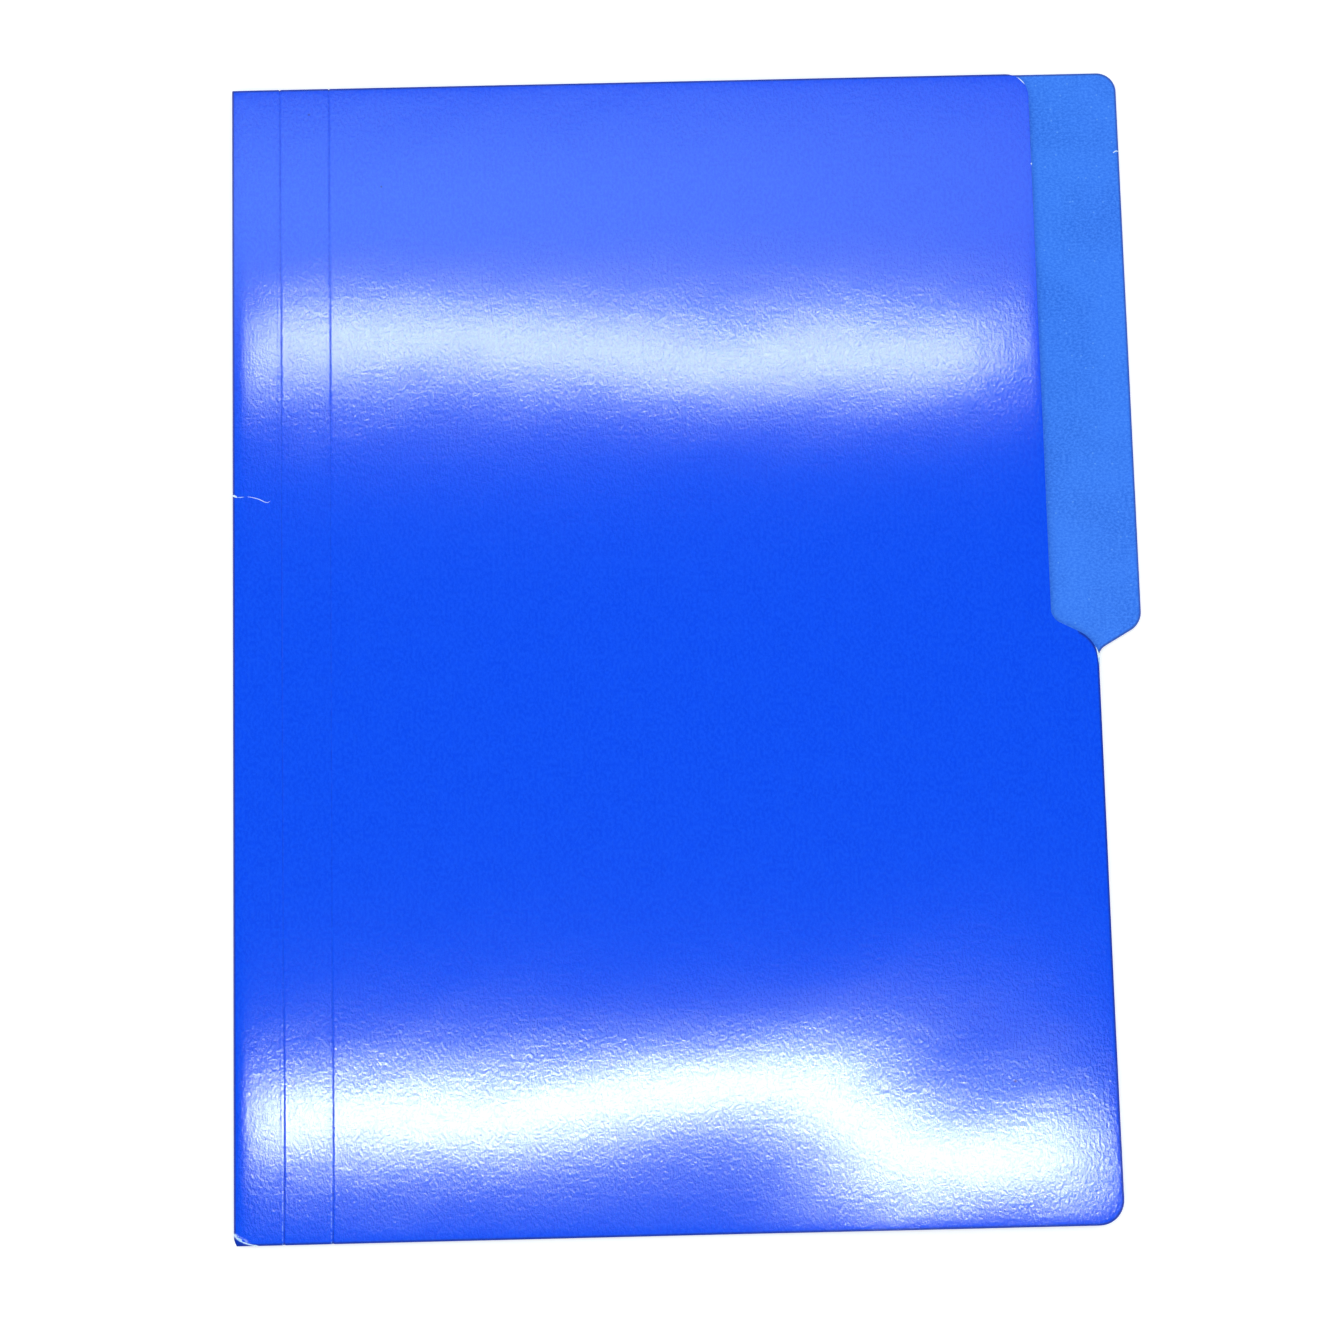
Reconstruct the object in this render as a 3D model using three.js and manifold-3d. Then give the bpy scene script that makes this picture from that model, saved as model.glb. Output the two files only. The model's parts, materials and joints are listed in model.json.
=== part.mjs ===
// A letter-size file folder with a half-cut tab, closed and lying flat on its back leaf.
// One die-cut sheet of coated card is folded once. The fold runs along X, and the tab stands
// out at +Y over the left half of the open edge, as the folder is held to be read.
// Score lines beside the fold let it open out to a wide bottom. The card flexes only along its
// creases, so each panel between two creases is a solid of its own.
// Millimetres, +Z up, origin under the middle of the closed folder's box.
import * as THREE from 'three';
import { mergeVertices } from 'three/addons/utils/BufferGeometryUtils.js';
import Module from 'manifold-3d';

const wasm = await Module();
wasm.setup();

// The sheet: its width is counted from the outside of the fold to the open edge
const spineLength = 298.45;
const leafWidth = 222.25;
const cardThickness = 0.4;
const leafGap = 0.4;

// The tab on the back leaf: its length runs from the left end to the middle of its slope,
// and each slope leans this far from a cut square to the open edge
const tabReach = 11.5;
const tabLength = 150.6;
const tabSlope = THREE.MathUtils.degToRad(30);
const tabEndRadius = 5;
const tabShoulderRadius = 5.5;
const tabRootRadius = 4;

// The cut in the front leaf that bares the tab ends a little before the tab does
const frontCutBack = 11.8;
const cutLead = 2.1;
const cutSlope = THREE.MathUtils.degToRad(27);
const cutEndRadius = 6;
const cutRootRadius = 4;
const cutShoulderRadius = 8.5;

// The corners of both leaves at the right end of the open edge
const openCornerRadius = 6.35;

// The main fold, a bend with a short straight leg on each side
const foldLeg = 0.45;

// The score lines, counted from the outside of the fold, and the pressed groove of each
const firstScore = 12.7;
const scorePitch = 12.7;
const grooveReach = 0.6;
const grooveDepth = 0.15;
const beadHeight = 0.12;

// The line along which the card flexes, left open between two rigid panels
const flexGap = 0.4;

// Steps that draw each round corner and the fold's bend
const cornerSteps = 12;
const bendSteps = 10;

const coatedBlue = new THREE.Color(0x1450f5);
const insideBlue = new THREE.Color(0x2f78eb);
const coatedRoughness = 0.28;
const insideRoughness = 0.75;

// Heights that follow from the card and the air between the leaves
const foldInnerRadius = leafGap / 2;
const foldOuterRadius = foldInnerRadius + cardThickness;
const frontBottom = cardThickness + leafGap;
const frontTop = frontBottom + cardThickness;

// Places along Y, counted from the outside of the fold
const foldLegEnd = foldOuterRadius + foldLeg;
const leafStart = foldLegEnd + flexGap;
const secondScore = firstScore + scorePitch;
const tabEdge = leafWidth + tabReach;
const cutEdge = leafWidth - frontCutBack;

// Half of how far along the open edge a slope runs that steps in or out by a reach.
const halfRun = (reach, slope) => (reach / 2) * Math.tan(slope);

// A corner of an outline, sharp where it has no radius.
const corner = (x, y, radius = 0) => ({ point: new THREE.Vector2(x, y), radius });

// Draws one corner as the arc that touches both of its edges, or as a point where it is sharp.
function drawCorner(shape, before, here, after) {
  if (here.radius === 0) {
    shape.lineTo(here.point.x, here.point.y);
    return;
  }
  const back = before.point.clone().sub(here.point).normalize();
  const ahead = after.point.clone().sub(here.point).normalize();
  const halfAngle = Math.acos(back.dot(ahead)) / 2;
  const reach = here.radius / Math.tan(halfAngle);
  const inward = back.clone().add(ahead).setLength(here.radius / Math.sin(halfAngle));
  const centre = here.point.clone().add(inward);
  const from = here.point.clone().addScaledVector(back, reach);
  const to = here.point.clone().addScaledVector(ahead, reach);
  const startAngle = from.clone().sub(centre).angle();
  const endAngle = to.clone().sub(centre).angle();
  const clockwise = back.cross(ahead) > 0;
  shape.lineTo(from.x, from.y);
  shape.absarc(centre.x, centre.y, here.radius, startAngle, endAngle, clockwise);
}

// A closed outline through a list of corners in order, the first of them sharp.
function outline(corners) {
  const shape = new THREE.Shape();
  shape.moveTo(corners[0].point.x, corners[0].point.y);
  corners.slice(1).forEach((here, i) => {
    const after = corners[(i + 2) % corners.length];
    drawCorner(shape, corners[i], here, after);
  });
  return shape;
}

// A plan outline as a plate that stands on the table plane.
function plate(shape, height) {
  const options = { depth: height, bevelEnabled: false, curveSegments: cornerSteps };
  return new THREE.ExtrudeGeometry(shape, options);
}

// A cross-section drawn in Y and Z, carried along the whole spine.
function alongSpine(shape) {
  const options = { depth: spineLength, bevelEnabled: false, curveSegments: bendSteps };
  return new THREE.ExtrudeGeometry(shape, options).rotateX(Math.PI / 2).rotateZ(Math.PI / 2);
}

// A closed geometry as a solid for the boolean.
function solid(geometry) {
  const bare = geometry.clone();
  bare.deleteAttribute('normal');
  bare.deleteAttribute('uv');
  const merged = mergeVertices(bare);
  return new wasm.Manifold(new wasm.Mesh({
    numProp: 3,
    vertProperties: new Float32Array(merged.attributes.position.array),
    triVerts: new Uint32Array(merged.index.array),
  }));
}

// A solid back as a geometry with flat-shaded normals.
function geometryOf(body) {
  const mesh = body.getMesh();
  const geometry = new THREE.BufferGeometry();
  geometry.setAttribute('position', new THREE.BufferAttribute(mesh.vertProperties, 3));
  geometry.setIndex(new THREE.BufferAttribute(mesh.triVerts, 1));
  const faceted = geometry.toNonIndexed();
  faceted.computeVertexNormals();
  return faceted;
}

// The cross-section of a front panel. Where it ends at a score line, its edge is pressed down:
// a groove on the outer face and a bead on the inner one.
function panelSection(start, end, scoreAtStart, scoreAtEnd) {
  const shape = new THREE.Shape();
  if (scoreAtStart) {
    shape.moveTo(start + grooveReach, frontTop);
    shape.lineTo(start, frontTop - grooveDepth);
    shape.lineTo(start, frontBottom - beadHeight);
    shape.lineTo(start + grooveReach, frontBottom);
  } else {
    shape.moveTo(start, frontTop);
    shape.lineTo(start, frontBottom);
  }
  if (scoreAtEnd) {
    shape.lineTo(end - grooveReach, frontBottom);
    shape.lineTo(end, frontBottom - beadHeight);
    shape.lineTo(end, frontTop - grooveDepth);
    shape.lineTo(end - grooveReach, frontTop);
  } else {
    shape.lineTo(end, frontBottom);
    shape.lineTo(end, frontTop);
  }
  return shape;
}

// The back leaf: square at the fold, with its tab over the left part of the open edge.
function backLeaf() {
  const halfSlope = halfRun(tabReach, tabSlope);
  const cut = outline([
    corner(0, leafStart),
    corner(spineLength, leafStart),
    corner(spineLength, leafWidth, openCornerRadius),
    corner(tabLength + halfSlope, leafWidth, tabRootRadius),
    corner(tabLength - halfSlope, tabEdge, tabShoulderRadius),
    corner(0, tabEdge, tabEndRadius),
  ]);
  return plate(cut, cardThickness);
}

// The front leaf beyond the second score line, cut back beside the tab.
function frontLeaf() {
  const slopeMiddle = tabLength - cutLead;
  const halfSlope = halfRun(frontCutBack, cutSlope);
  const start = secondScore + flexGap / 2;
  const cut = outline([
    corner(0, start),
    corner(spineLength, start),
    corner(spineLength, leafWidth, openCornerRadius),
    corner(slopeMiddle + halfSlope, leafWidth, cutShoulderRadius),
    corner(slopeMiddle - halfSlope, cutEdge, cutRootRadius),
    corner(0, cutEdge, cutEndRadius),
  ]);
  const pressed = alongSpine(panelSection(start, leafWidth, true, false));
  return geometryOf(solid(plate(cut, frontTop)).intersect(solid(pressed)));
}

// The strip between the fold and the first score line.
function firstStrip() {
  return alongSpine(panelSection(leafStart, firstScore - flexGap / 2, false, true));
}

// The strip between the two score lines.
function secondStrip() {
  const start = firstScore + flexGap / 2;
  const end = secondScore - flexGap / 2;
  return alongSpine(panelSection(start, end, true, true));
}

// The bent card of the main fold, open towards +Y.
function spineFold() {
  const middle = foldOuterRadius;
  const shape = new THREE.Shape();
  shape.moveTo(foldLegEnd, middle - foldOuterRadius);
  shape.lineTo(middle, middle - foldOuterRadius);
  shape.absarc(middle, middle, foldOuterRadius, -Math.PI / 2, Math.PI / 2, true);
  shape.lineTo(foldLegEnd, middle + foldOuterRadius);
  shape.lineTo(foldLegEnd, middle + foldInnerRadius);
  shape.lineTo(middle, middle + foldInnerRadius);
  shape.absarc(middle, middle, foldInnerRadius, Math.PI / 2, -Math.PI / 2, false);
  shape.lineTo(foldLegEnd, middle - foldInnerRadius);
  return alongSpine(shape);
}

const coatedFace = new THREE.MeshStandardMaterial({
  color: coatedBlue, roughness: coatedRoughness, metalness: 0,
});
const insideFace = new THREE.MeshStandardMaterial({
  color: insideBlue, roughness: insideRoughness, metalness: 0,
});

const folder = new THREE.Group();
folder.position.set(-spineLength / 2, -tabEdge / 2, 0);

// Adds one panel of the sheet under its own name.
function addPanel(name, geometry, material) {
  const panel = new THREE.Mesh(geometry, material);
  panel.name = name;
  folder.add(panel);
}

addPanel('back_leaf', backLeaf(), insideFace);
addPanel('spine_fold', spineFold(), coatedFace);
addPanel('first_expansion_strip', firstStrip(), coatedFace);
addPanel('second_expansion_strip', secondStrip(), coatedFace);
addPanel('front_leaf', frontLeaf(), coatedFace);

export default folder;
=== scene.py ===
"""The sheet is described in two coordinates: how far along the main fold a point lies, from the end
with the tab, and how far across it lies, from the outside of the fold to the open edge. Metres.
"""
import json
import math

import bpy
import numpy as np
from mathutils import Matrix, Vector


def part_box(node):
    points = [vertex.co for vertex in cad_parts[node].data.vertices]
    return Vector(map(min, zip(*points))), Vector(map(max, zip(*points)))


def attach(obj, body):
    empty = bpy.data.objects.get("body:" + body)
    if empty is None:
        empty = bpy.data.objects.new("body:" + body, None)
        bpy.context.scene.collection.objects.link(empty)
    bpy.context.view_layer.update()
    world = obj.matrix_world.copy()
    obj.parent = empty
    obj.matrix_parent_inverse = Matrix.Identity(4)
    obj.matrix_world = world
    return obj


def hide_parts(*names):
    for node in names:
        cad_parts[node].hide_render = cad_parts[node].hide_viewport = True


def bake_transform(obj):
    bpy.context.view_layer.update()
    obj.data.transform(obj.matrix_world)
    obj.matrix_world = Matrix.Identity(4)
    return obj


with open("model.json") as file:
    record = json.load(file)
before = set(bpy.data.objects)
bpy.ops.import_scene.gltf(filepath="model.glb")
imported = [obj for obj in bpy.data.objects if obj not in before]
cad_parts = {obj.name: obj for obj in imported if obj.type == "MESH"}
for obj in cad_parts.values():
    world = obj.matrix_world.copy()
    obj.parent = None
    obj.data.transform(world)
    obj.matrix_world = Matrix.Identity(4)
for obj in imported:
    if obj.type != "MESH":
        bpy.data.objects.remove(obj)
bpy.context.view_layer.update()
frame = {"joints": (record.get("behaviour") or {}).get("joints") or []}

MM = 0.001

# Places and thicknesses that the frame gives
back_low, back_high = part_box("back_leaf")
fold_low, fold_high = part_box("spine_fold")
front_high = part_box("front_leaf")[1]
joint_place = {joint["name"]: joint["pos_m"] for joint in frame["joints"]}
LEFT = fold_low.x
RIGHT = fold_high.x
SPINE = RIGHT - LEFT
FOLD_LINE = fold_low.y
LEAF_EDGE = front_high.y
TAB_EDGE = back_high.y
CARD = back_high.z
FRONT_TOP = fold_high.z
FRONT_BOTTOM = FRONT_TOP - CARD
FOLD_RADIUS = FRONT_TOP / 2
FOLD_SEAM = (fold_high.y + back_low.y) / 2
FIRST_SCORE = joint_place["score_1"][1]
SECOND_SCORE = joint_place["score_2"][1]

# The tab on the back leaf, and the cut in the front leaf that bares it
TAB_LENGTH = 150.6 * MM
TAB_SLOPE = math.radians(30)
TAB_END_RADIUS = 5 * MM
TAB_SHOULDER_RADIUS = 5.5 * MM
TAB_ROOT_RADIUS = 4 * MM
CUT_BACK = 11.8 * MM
CUT_LEAD = 2.1 * MM
CUT_SLOPE = math.radians(27)
CUT_END_RADIUS = 6 * MM
CUT_ROOT_RADIUS = 4 * MM
CUT_SHOULDER_RADIUS = 8.5 * MM
OPEN_CORNER_RADIUS = 6.35 * MM

# A score line: a crease of this half width, which turns within the bend. A narrow groove is
# pressed in it between two low lips, nicks the ends of the card, and is a little askew on the
# second line.
CREASE_REACH = 1.2 * MM
SECOND_SHIFT = -0.15 * MM
SECOND_SLANT = -0.0026
GROOVE_WIDTH = 0.19 * MM
GROOVE_DEPTH = 0.06 * MM
LIP_PLACE = 0.55 * MM
LIP_WIDTH = 0.24 * MM
LIP_HEIGHT = 0.006 * MM
SCORE_NICK = 0.22 * MM
NICK_REACH = 4.5 * MM

# How the card departs from flat: it swells away from the fold, and its cut edges roll down and
# bulge outwards
SWELL_SLOPE = 0.06
SWELL_REACH = 1.2 * MM
ROLL_SLOPE = 0.02
ROLL_REACH = 1.0 * MM
EDGE_BULGE = 0.05 * MM

# Two long ripples from handling, each tipped about its own line by a slope that changes across
# the sheet. They die away over the reach, and fade out towards the fold.
RIPPLE_REACH = 45 * MM
RIPPLE_FADE = 9 * MM

# The right ripple: its line is aslant, its slope grows into the curl of the corner, and dips first
CURL_LINE = 119 * MM
CURL_SLANT = 0.35
CURL_SLOPE = 0.0134
CURL_START = 132 * MM
CURL_GROWTH = 52 * MM
CURL_REACH = 480 * MM
DIP_SLOPE = 0.0068
DIP_PLACE = 128 * MM
DIP_WIDTH = 34 * MM

# The left ripple: its slope changes from one way at the fold to the other
TIP_LINE = -78 * MM
TIP_CHANGE = 0.0068
TIP_AT_FOLD = 0.0029
TIP_START = 50 * MM
TIP_GROWTH = 80 * MM

# Low sine waves over all of it, with their lengths in millimetres
WAVE_SEED = 11
WAVE_COUNT = 12
WAVE_LENGTHS = (14, 60)
WAVE_SLOPE = 0.0005

# The crushed corner at the right end of the fold
CRUSH_ALONG = 2.5 * MM
CRUSH_ACROSS = 6.4 * MM
CRUSH_POWER = 2.2
CRUSH_DEPTH = 0.22 * MM
CRUSH_SOFTNESS = 0.7 * MM
BLUNT_REACH = 2.6 * MM
BLUNT_DEPTH = 0.75 * MM

# Mesh density
ARC_STEPS = 10
STEP_ALONG = 3.4 * MM
STEP_ACROSS = 3.0 * MM
STRIP_STEP = 0.8 * MM
CREASE_ROWS = 24
END_REACH = 4.5 * MM
END_STEPS = 8
RIM_STEPS = 5
FOLD_STEPS = 28
LEG_STEPS = 4
SLIVER_SIDES = 8
SLIVER_TIP = 0.004
SHARP_ANGLE = math.radians(48)

# The painted shade along the front leaf's outer edge starts this far before the end of the tab
EDGE_SHADE_LEAD = 2 * MM

# The camera that took the photograph: its lens, its place in the part's frame and its turns
SENSOR = 36.0
LENS = 61.27
CAMERA_PLACE = (73.77 * MM, -9.02 * MM, 578.2 * MM)
CAMERA_TILT = 0.1166
CAMERA_LEAN = -0.0052
CAMERA_ROLL = -0.0238


def make_camera():
    """The photograph shows +Y to the right, so a quarter turn comes before the small ones."""
    data = bpy.data.cameras.new("camera")
    data.sensor_width = SENSOR
    data.lens = LENS
    data.clip_start = 0.01
    data.clip_end = 20
    camera = bpy.data.objects.new("camera", data)
    bpy.context.scene.collection.objects.link(camera)
    quarter = Matrix.Rotation(math.radians(90), 4, "Z")
    lean = Matrix.Rotation(CAMERA_LEAN, 4, "Y")
    tilt = Matrix.Rotation(CAMERA_TILT, 4, "X")
    roll = Matrix.Rotation(CAMERA_ROLL, 4, "Z")
    camera.matrix_world = Matrix.Translation(CAMERA_PLACE) @ quarter @ lean @ tilt @ roll
    bpy.context.scene.camera = camera


def smooth_step(value):
    """Zero below 0, one above 1, and three t squared less two t cubed between them."""
    t = np.clip(value, 0, 1)
    return t * t * (3 - 2 * t)


def bell(value, middle, reach):
    """One at the middle, falling on both sides as e to the minus square of the distance over reach."""
    return np.exp(-((value - middle) / reach) ** 2)


def graded(start, end, step):
    """Places from start to end: squares of even steps near both ends, and even steps between."""
    near = END_REACH * (np.arange(END_STEPS) / END_STEPS) ** 2
    count = max(2, math.ceil((end - start - 2 * END_REACH) / step))
    middle = np.linspace(start + END_REACH, end - END_REACH, count + 1)
    return np.concatenate([start + near, middle, (end - near)[::-1]])


def rounded(corners):
    """A path through corners (x, y, radius), each drawn as the arc that touches both its edges.

    The arc's middle lies on the corner's bisector, at radius over the sine of half its angle.
    """
    points = [np.array(corners[0][:2])]
    for before, (x, y, radius), after in zip(corners, corners[1:], corners[2:]):
        here = np.array([x, y])
        back = np.array(before[:2]) - here
        ahead = np.array(after[:2]) - here
        back /= np.linalg.norm(back)
        ahead /= np.linalg.norm(ahead)
        half = math.acos(back @ ahead) / 2
        bisector = (back + ahead) / np.linalg.norm(back + ahead)
        middle = here + bisector * radius / math.sin(half)
        first = here + back * radius / math.tan(half) - middle
        last = here + ahead * radius / math.tan(half) - middle
        start = math.atan2(first[1], first[0])
        sweep = (math.atan2(last[1], last[0]) - start + math.pi) % (2 * math.pi) - math.pi
        for turn in start + sweep * np.linspace(0, 1, ARC_STEPS + 1):
            points.append(middle + radius * np.array([math.cos(turn), math.sin(turn)]))
    points.append(np.array(corners[-1][:2]))
    return np.array(points)


def filled(path):
    """The same path, with every long straight cut into even steps."""
    pieces = []
    for a, b in zip(path, path[1:]):
        count = max(1, math.ceil(np.linalg.norm(b - a) / STEP_ALONG))
        pieces.append(a + (b - a) * (np.arange(count) / count)[:, None])
    return np.concatenate(pieces + [path[-1:]])


def back_outline():
    """The back leaf's free outline, from its left end round the tab to its right end."""
    half_run = (TAB_EDGE - LEAF_EDGE) / 2 * math.tan(TAB_SLOPE)
    middle = LEFT + TAB_LENGTH
    return rounded([
        (LEFT, FOLD_SEAM, 0),
        (LEFT, TAB_EDGE, TAB_END_RADIUS),
        (middle - half_run, TAB_EDGE, TAB_SHOULDER_RADIUS),
        (middle + half_run, LEAF_EDGE, TAB_ROOT_RADIUS),
        (RIGHT, LEAF_EDGE, OPEN_CORNER_RADIUS),
        (RIGHT, FOLD_SEAM, 0),
    ])


def front_outline():
    """The front leaf's free outline, cut back beside the tab."""
    cut_edge = LEAF_EDGE - CUT_BACK
    half_run = CUT_BACK / 2 * math.tan(CUT_SLOPE)
    middle = LEFT + TAB_LENGTH - CUT_LEAD
    start = SECOND_SCORE + CREASE_REACH
    return rounded([
        (LEFT, start, 0),
        (LEFT, cut_edge, CUT_END_RADIUS),
        (middle - half_run, cut_edge, CUT_ROOT_RADIUS),
        (middle + half_run, LEAF_EDGE, CUT_SHOULDER_RADIUS),
        (RIGHT, LEAF_EDGE, OPEN_CORNER_RADIUS),
        (RIGHT, start, 0),
    ])


def distance_to_path(x, y, path):
    """The distance from each point to the nearest straight of a path."""
    points = np.stack([x.ravel(), y.ravel()], 1)
    nearest = np.full(len(points), np.inf)
    for a, b in zip(path, path[1:]):
        along = b - a
        length = along @ along
        if length == 0:
            continue
        share = np.clip((points - a) @ along / length, 0, 1)
        gap = np.linalg.norm(points - a - share[:, None] * along, axis=1)
        nearest = np.minimum(nearest, gap)
    return nearest.reshape(x.shape)


def distance_to_ends(x):
    """The distance to the nearer end of the fold."""
    return np.minimum(x - LEFT, RIGHT - x)


def roll(distance):
    """How far a cut edge rolls down: a slope that dies away exponentially inwards."""
    return ROLL_SLOPE * ROLL_REACH * np.exp(-distance / ROLL_REACH)


def swell(y):
    """How far the front side has risen since the fold: a slope that dies away exponentially."""
    beyond = np.maximum(y - FOLD_LINE - FOLD_RADIUS, 0)
    return SWELL_SLOPE * SWELL_REACH * (1 - np.exp(-beyond / SWELL_REACH))


def ripple(x, y):
    """The front side's handling ripples.

    Two long ripples tip the card along the fold, each by a slope that changes across the sheet
    in smooth steps, and die away to both sides of their line. The corner at the open edge curls
    up instead: beyond the line its slope goes on and grows evenly to the end of the leaf. Long,
    low sine waves in several directions cross all of it.
    """
    place = x - CURL_LINE
    across = y - FOLD_LINE + CURL_SLANT * place
    fading = place * np.exp(-(place / RIPPLE_REACH) ** 2)
    curling = np.where(place < 0, fading, place + place ** 2 / CURL_REACH)
    height = CURL_SLOPE * smooth_step((across - CURL_START) / CURL_GROWTH) * curling
    height = height - DIP_SLOPE * bell(across, DIP_PLACE, DIP_WIDTH) * fading
    place = x - TIP_LINE
    across = y - FOLD_LINE
    tip = TIP_CHANGE * smooth_step((across - TIP_START) / TIP_GROWTH) - TIP_AT_FOLD
    height = height + tip * place * np.exp(-(place / RIPPLE_REACH) ** 2)
    dice = np.random.default_rng(WAVE_SEED)
    for _ in range(WAVE_COUNT):
        length = dice.uniform(*WAVE_LENGTHS) * MM
        turn = dice.uniform(0, math.pi)
        phase = dice.uniform(0, 2 * math.pi)
        travel = x * math.cos(turn) + y * math.sin(turn)
        wave = np.sin(math.tau * travel / length + phase)
        height = height + WAVE_SLOPE * length / math.tau * wave
    return height * (1 - bell(y, FOLD_LINE, RIPPLE_FADE))


def crush(x, y):
    """One inside the crushed corner, zero elsewhere.

    Its border runs from the end of the fold across the sheet, and its distance from the right
    end falls as a power of what is left of its reach.
    """
    left_over = np.clip(1 - (y - FOLD_LINE) / CRUSH_ACROSS, 0, 1)
    border = CRUSH_ALONG * left_over ** CRUSH_POWER
    return smooth_step((border - (RIGHT - x)) / CRUSH_SOFTNESS)


def blunted(x, y):
    """How far the crushed end of the fold is pushed in: a square of what is left of its reach.

    The push is all taken up between the fold and the seam to its neighbours.
    """
    left_over = np.clip(1 - (RIGHT - x) / BLUNT_REACH, 0, 1)
    return BLUNT_DEPTH * left_over ** 2 * (FOLD_SEAM - y) / (FOLD_SEAM - FOLD_LINE)


def second_groove(x):
    """The second groove's place across: pressed a little askew, it nears the fold to the right."""
    return SECOND_SCORE + SECOND_SHIFT + SECOND_SLANT * x


def groove(y, score):
    """The pressed section of a score line: a bell-shaped groove between two low lips."""
    pressed = GROOVE_DEPTH * bell(y, score, GROOVE_WIDTH)
    lips = bell(y, score - LIP_PLACE, LIP_WIDTH) + bell(y, score + LIP_PLACE, LIP_WIDTH)
    return LIP_HEIGHT * lips - pressed


def front_rise(x, y, distance):
    """How far the front side lies above its flat place."""
    pressed = groove(y, FIRST_SCORE) + groove(y, second_groove(x))
    rise = swell(y) + ripple(x, y) - roll(distance) + pressed
    return rise - CRUSH_DEPTH * crush(x, y)


def build_mesh(name, points, faces, slots, uv, edge, materials):
    """A mesh object from whole arrays, smooth except where its faces meet at a sharp angle.

    It carries each point's place on the sheet, and its distance to the nearest edge with painted
    shade.
    """
    mesh = bpy.data.meshes.new(name)
    mesh.from_pydata(points, [], faces)
    for material in materials:
        mesh.materials.append(material)
    mesh.polygons.foreach_set("material_index", np.asarray(slots, np.int32))
    layer = mesh.uv_layers.new(name="sheet")
    corners = np.zeros(len(mesh.loops), np.int32)
    mesh.loops.foreach_get("vertex_index", corners)
    layer.data.foreach_set("uv", uv[corners].astype(np.float32).ravel())
    layer = mesh.attributes.new("edge", "FLOAT", "POINT")
    layer.data.foreach_set("value", edge.astype(np.float32))
    mesh.update()
    mesh.shade_smooth()
    mesh.set_sharp_from_angle(angle=SHARP_ANGLE)
    piece = bpy.data.objects.new(name, mesh)
    bpy.context.scene.collection.objects.link(piece)
    return piece


def card(name, outer, inner, uv, edge, materials, open_edge=False):
    """A closed sheet of card between two grids of points, with a rim round its border.

    The grids run along the fold in their first direction and across it in their second. The rim
    goes from one grid to the other in even steps. On a cut side it also bulges outwards by the
    sine of its way down, and on a seam it stays flat, so that the next piece meets it.
    """
    count, rows = outer.shape[:2]
    number = np.arange(count * rows).reshape(count, rows)
    border = np.concatenate([
        number[:, 0], number[-1, 1:], number[-2::-1, -1], number[0, -2:0:-1],
    ])
    quads = np.stack([number[:-1, :-1], number[1:, :-1], number[1:, 1:], number[:-1, 1:]], -1)
    outer_faces = quads.reshape(-1, 4)
    inner_faces = outer_faces[:, ::-1] + count * rows

    outward = np.zeros((count, rows, 3))
    if open_edge:
        along = np.gradient(outer[:, -1, :2], axis=0)
        along /= np.linalg.norm(along, axis=1)[:, None]
        outward[:, -1, 0] = -along[:, 1]
        outward[:, -1, 1] = along[:, 0]
    outward[0] = (-1, 0, 0)
    outward[-1] = (1, 0, 0)

    top = outer.reshape(-1, 3)[border]
    bottom = inner.reshape(-1, 3)[border]
    out = outward.reshape(-1, 3)[border]
    share = (np.arange(1, RIM_STEPS) / RIM_STEPS)[:, None, None]
    rim = top + (bottom - top) * share + out * EDGE_BULGE * np.sin(math.pi * share)
    ring = np.arange((RIM_STEPS - 1) * len(border)).reshape(RIM_STEPS - 1, -1)
    loops = np.concatenate([border[None], ring + 2 * count * rows, border[None] + count * rows])
    after = np.roll(loops, -1, axis=1)
    rim_faces = np.stack([loops[:-1], loops[1:], after[1:], after[:-1]], -1).reshape(-1, 4)

    points = np.concatenate([outer.reshape(-1, 3), inner.reshape(-1, 3), rim.reshape(-1, 3)])
    uv = uv.reshape(-1, 2)
    uv = np.concatenate([uv, uv, np.tile(uv[border], (RIM_STEPS - 1, 1))])
    edge = np.concatenate([edge.ravel(), edge.ravel(), np.zeros(ring.size)])
    faces = np.concatenate([outer_faces, inner_faces, rim_faces])
    slots = np.repeat([0, 1, 2], [len(outer_faces), len(inner_faces), len(rim_faces)])
    return build_mesh(name, points, faces.tolist(), slots, uv, edge, materials)


def sheet_uv(x, y, side):
    """Places on the unfolded sheet: along the fold, and across it, negative on the back."""
    return np.stack([x - LEFT, side * (y - FOLD_LINE)], -1)


def leaf_grid(outline, start):
    """Points of a leaf: one column for each point of its free outline, and rows across.

    Rows are even from the seam, and squares of even steps near the free edge.
    """
    edge = filled(outline[1:-1])
    near = END_REACH * (np.arange(END_STEPS)[::-1] / END_STEPS) ** 2
    count = math.ceil((LEAF_EDGE - start - END_REACH) / STEP_ACROSS)
    even = np.linspace(0, 1, count + 1)
    last = edge[:, 1:] - END_REACH
    y = np.concatenate([start + (last - start) * even, edge[:, 1:] - near], axis=1)
    x = np.repeat(edge[:, :1], y.shape[1], axis=1)
    return x, y


def front_leaf_card(materials):
    """The front leaf beyond the second score line."""
    outline = front_outline()
    x, y = leaf_grid(outline, SECOND_SCORE + CREASE_REACH)
    edge = distance_to_path(x, y, outline)
    rise = front_rise(x, y, edge)
    outer = np.stack([x, y, FRONT_TOP + rise], -1)
    inner = np.stack([x, y, FRONT_BOTTOM + rise], -1)
    uv = sheet_uv(x, y, 1)
    # The painted edge shade runs along both ends of the fold and along the outline past the tab, not
    # beside the tab
    beyond_tab = outline[outline[:, 0] > LEFT + TAB_LENGTH - EDGE_SHADE_LEAD]
    outer_edge = np.minimum(distance_to_ends(x), distance_to_path(x, y, beyond_tab))
    return card("front_leaf_card", outer, inner, uv, outer_edge, materials, open_edge=True)


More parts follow.
